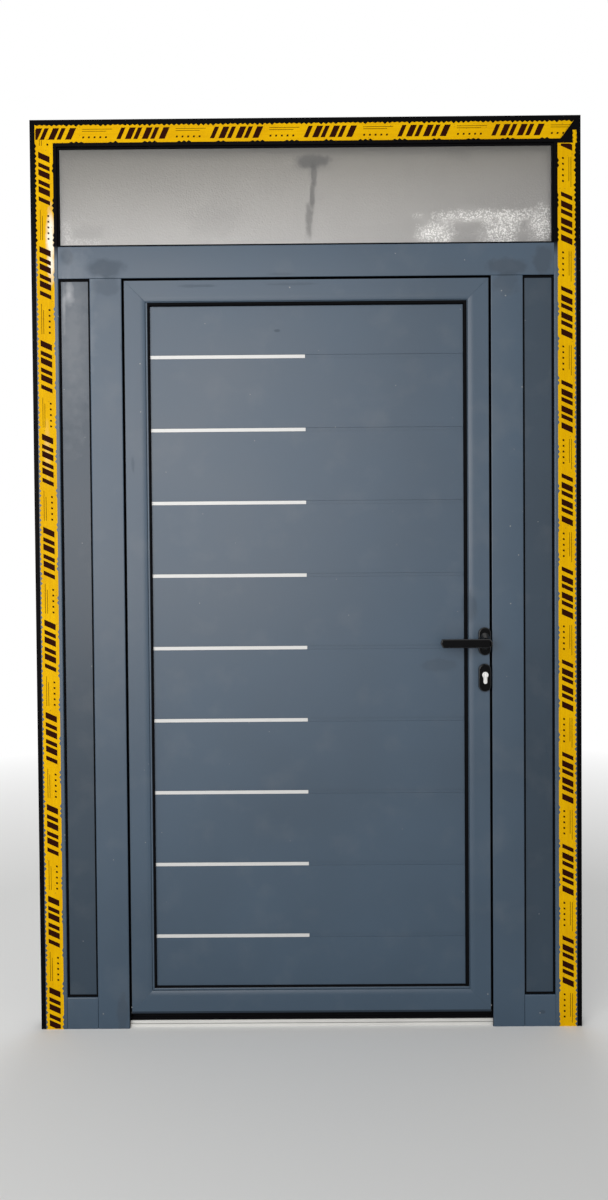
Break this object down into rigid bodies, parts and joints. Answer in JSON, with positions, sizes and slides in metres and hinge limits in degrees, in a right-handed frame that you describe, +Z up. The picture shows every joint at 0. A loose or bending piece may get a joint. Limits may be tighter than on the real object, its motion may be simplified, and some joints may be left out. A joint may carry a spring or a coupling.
{
  "type": "panelled entrance door",
  "caption": "Inward-opening aluminium entrance door in its frame, with a grooved inlaid leaf panel, narrow side panels, a frosted transom light, lever handle and key lock.",
  "frame": {"origin": "middle of the frame's underside, half way through the profile depth", "axes": "+X to the right as seen from outside, +Y into the building, +Z up"},
  "size_m": [1.5, 0.18, 2.5],
  "materials": {
    "anthracite": "satin powder coat",
    "break_plastic": "matt",
    "mill_aluminium": "mill",
    "glass": "frosted",
    "spacer_metal": "mill",
    "foam": "rigid foam",
    "rubber": "matt",
    "tape_film": "satin film",
    "bright_steel": "brushed",
    "black_metal": "satin black",
    "nickel": "satin nickel"
  },
  "bodies": {
    "frame": {"left_jamb": "anthracite", "right_jamb": "anthracite", "frame_head": "anthracite", "transom": "anthracite", "left_mullion": "anthracite", "right_mullion": "anthracite", "left_sill_rail": "anthracite", "right_sill_rail": "anthracite", "frame_thermal_breaks": "break_plastic", "frame_connectors": "mill_aluminium", "transom_outer_pane": "glass", "transom_inner_pane": "glass", "transom_spacer": "spacer_metal", "left_side_panel": "anthracite", "right_side_panel": "anthracite", "side_panel_cores": "foam", "frame_glazing_beads": "anthracite", "frame_outer_gaskets": "rubber", "frame_inner_gaskets": "rubber", "frame_setting_blocks": "break_plastic", "door_stops": "anthracite", "door_seal": "rubber", "threshold": "mill_aluminium", "left_tape": "tape_film", "right_tape": "tape_film", "head_tape": "tape_film", "strike_plate": "bright_steel", "hinge_frame_wings": "black_metal", "hinge_pins": "black_metal", "frame_screws": "bright_steel"},
    "leaf": {"hinge_stile": "anthracite", "lock_stile": "anthracite", "leaf_top_rail": "anthracite", "leaf_bottom_rail": "anthracite", "leaf_thermal_breaks": "break_plastic", "leaf_corner_cleats": "mill_aluminium", "panel_outer_skin": "anthracite", "panel_core": "foam", "panel_inner_skin": "anthracite", "inlay_strips": "bright_steel", "leaf_glazing_beads": "anthracite", "leaf_outer_gasket": "rubber", "leaf_inner_gasket": "rubber", "leaf_setting_blocks": "break_plastic", "seal_carrier": "break_plastic", "bottom_seal": "rubber", "lock_case": "bright_steel", "lock_faceplate": "bright_steel", "cylinder_body": "nickel", "lever_rosettes": "black_metal", "key_escutcheons": "black_metal", "hinge_leaf_wings": "black_metal", "leaf_screws": "bright_steel"},
    "handle": {"outer_lever": "black_metal", "inner_lever": "black_metal", "spindle": "bright_steel", "lock_follower": "bright_steel"},
    "key_works": {"cylinder_plugs": "nickel"},
    "latch": {"latch_bolt": "bright_steel"},
    "bolt": {"deadbolt": "bright_steel"}
  },
  "joints": [
    {"name": "door_swing", "type": "hinge", "parent": "frame", "child": "leaf", "pos_m": [-0.522, 0.046, 1.055], "axis": [0, 0, 1], "range_deg": [0, 110]},
    {"name": "lever_turn", "type": "hinge", "parent": "leaf", "child": "handle", "pos_m": [0.483, 0, 1.07], "axis": [0, -1, 0], "range_deg": [0, 40], "stiffness_Nm_per_rad": 1.2, "springref_deg": -28.65},
    {"name": "latch_slide", "type": "slide", "parent": "leaf", "child": "latch", "axis": [-1, 0, 0], "range_m": [0, 0.01201]},
    {"name": "key_turn", "type": "hinge", "parent": "leaf", "child": "key_works", "pos_m": [0.483, 0, 0.978], "axis": [0, -1, 0], "range_deg": [0, 360]},
    {"name": "bolt_throw", "type": "slide", "parent": "leaf", "child": "bolt", "axis": [1, 0, 0], "range_m": [0, 0.02]}
  ],
  "couplings": [
    {"joint": "latch_slide", "follows": "lever_turn", "m_per_rad": 0.017189},
    {"joint": "key_turn", "follows": "bolt_throw", "rad_per_m": 314.16}
  ]
}
